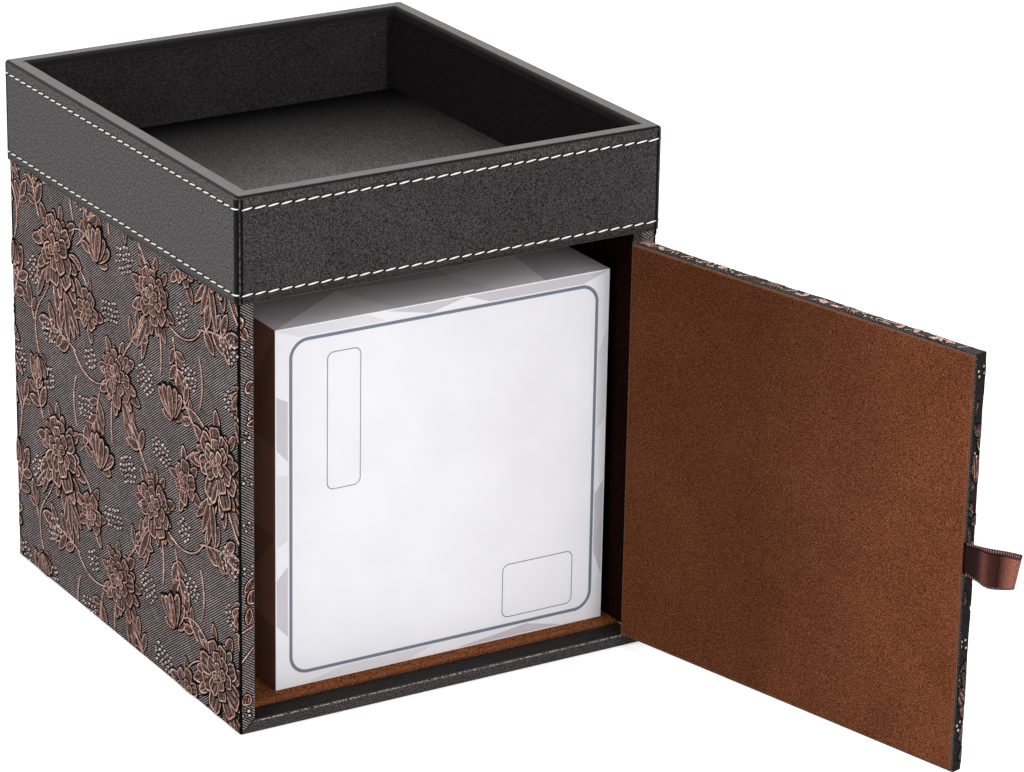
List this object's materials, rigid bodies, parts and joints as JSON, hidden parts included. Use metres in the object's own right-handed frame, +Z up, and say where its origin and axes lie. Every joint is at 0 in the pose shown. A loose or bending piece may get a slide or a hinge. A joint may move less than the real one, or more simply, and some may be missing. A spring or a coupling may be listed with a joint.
{
  "type": "tissue box with tray",
  "caption": "Free-standing tissue box of embossed leathercloth with an open leather-banded tray on top and a side-hinged loading door with a ribbon pull",
  "frame": {"origin": "centre of the underside of the case, on the surface that it stands on", "axes": "+Z up, -Y out of the side with the door, +Y out of the side with the tissue outlet, +X towards the door's hinge"},
  "size_m": [0.1631, 0.2909, 0.1605],
  "materials": {
    "board": "matte",
    "embossed_cover": "satin",
    "band_leather": "satin",
    "base_leather": "satin",
    "compartment_velour": "matte",
    "door_velour": "matte",
    "tray_lining": "matte",
    "tray_mat": "matte",
    "magnet": "satin",
    "ribbon": "satin",
    "carton": "matte",
    "tissue": "matte"
  },
  "bodies": {
    "case": {"base_board": "board", "base_cover": "base_leather", "left_board": "board", "right_board": "board", "outlet_board": "board", "left_cover": "embossed_cover", "right_cover": "embossed_cover", "outlet_cover": "embossed_cover", "leather_band": "band_leather", "tray_front_board": "board", "tray_floor_board": "board", "tray_wall_lining": "tray_lining", "tray_mat": "tray_mat", "floor_lining": "compartment_velour", "ceiling_lining": "compartment_velour", "left_lining": "compartment_velour", "right_lining": "compartment_velour", "outlet_lining": "compartment_velour", "hinge_strip_case": "embossed_cover", "case_magnets": "magnet"},
    "door": {"door_board": "board", "door_cover": "embossed_cover", "door_lining": "door_velour", "hinge_strip_door": "embossed_cover", "door_magnets": "magnet", "ribbon_tail": "ribbon"},
    "ribbon": {"ribbon_loop": "ribbon"},
    "carton": {"carton_shell": "carton", "tissue_stack": "tissue"}
  },
  "joints": [
    {"name": "door_hinge", "type": "hinge", "parent": "case", "child": "door", "pos_m": [0.06275, -0.0745, 0.0659], "axis": [0, 0, 1], "range_deg": [-104, 76]},
    {"name": "ribbon_bend", "type": "hinge", "parent": "door", "child": "ribbon", "pos_m": [0.0895, -0.19728, 0.0685], "axis": [0, 0, 1], "range_deg": [-66, 90.1]},
    {"name": "carton_slide", "type": "slide", "parent": "case", "child": "carton", "axis": [0, -1, 0], "range_m": [0, 0.0065]}
  ],
  "couplings": [
    {"joint": "ribbon_bend", "follows": "door_hinge", "ratio": -0.8654}
  ]
}
